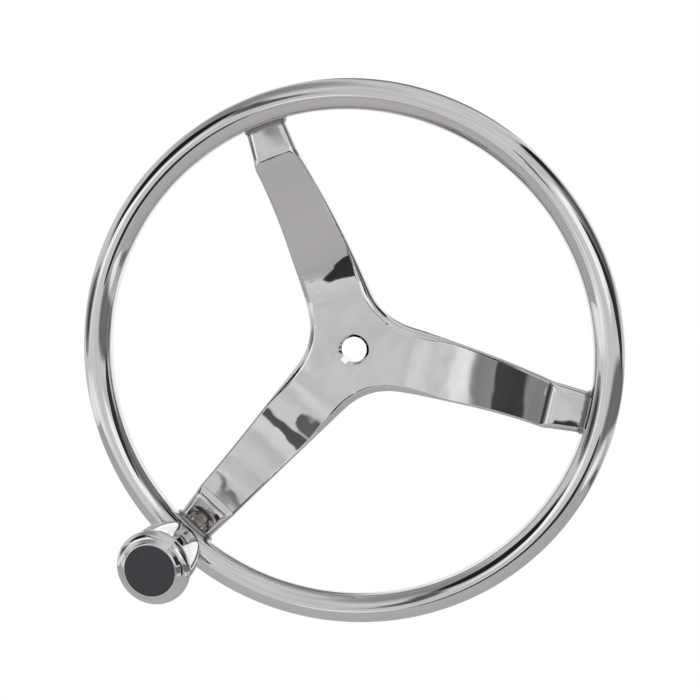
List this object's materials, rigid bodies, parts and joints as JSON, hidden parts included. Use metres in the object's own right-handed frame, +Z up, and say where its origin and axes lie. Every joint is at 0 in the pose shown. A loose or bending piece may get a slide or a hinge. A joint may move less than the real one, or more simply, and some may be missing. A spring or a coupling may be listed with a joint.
{
  "type": "boat steering wheel",
  "caption": "Dished spoked steering wheel for a boat, of polished stainless steel, with a tapered keyed hub and a spinning knob on its rim.",
  "frame": {"origin": "on the shaft's axis, in the plane of the hub's back face, where the taper bore is largest", "axes": "+Y along the shaft's axis, away from the driver and into the helm; +Z up; +X to the driver's right. The driver is at -Y."},
  "size_m": [0.3428, 0.1302, 0.3428],
  "materials": {
    "polished_stainless": "stainless steel, polished to a mirror",
    "plain_stainless": "stainless steel, plain machined",
    "nylon": "natural nylon",
    "acetal": "white acetal",
    "black_plastic": "satin black plastic"
  },
  "bodies": {
    "wheel": {"rim_tube": "polished_stainless", "spoke_spider": "polished_stainless", "hub_boss": "polished_stainless", "knob_stud": "polished_stainless", "stud_washer": "plain_stainless", "lock_nut": "plain_stainless", "lock_ring": "nylon"},
    "knob": {"knob_body": "polished_stainless", "knob_cap": "black_plastic", "rear_bush": "acetal", "front_bush": "acetal"}
  },
  "joints": [
    {"name": "knob_spin", "type": "hinge", "parent": "wheel", "child": "knob", "pos_m": [-0.10666, -0.1, -0.12183], "axis": [0, 1, 0], "continuous": true}
  ]
}
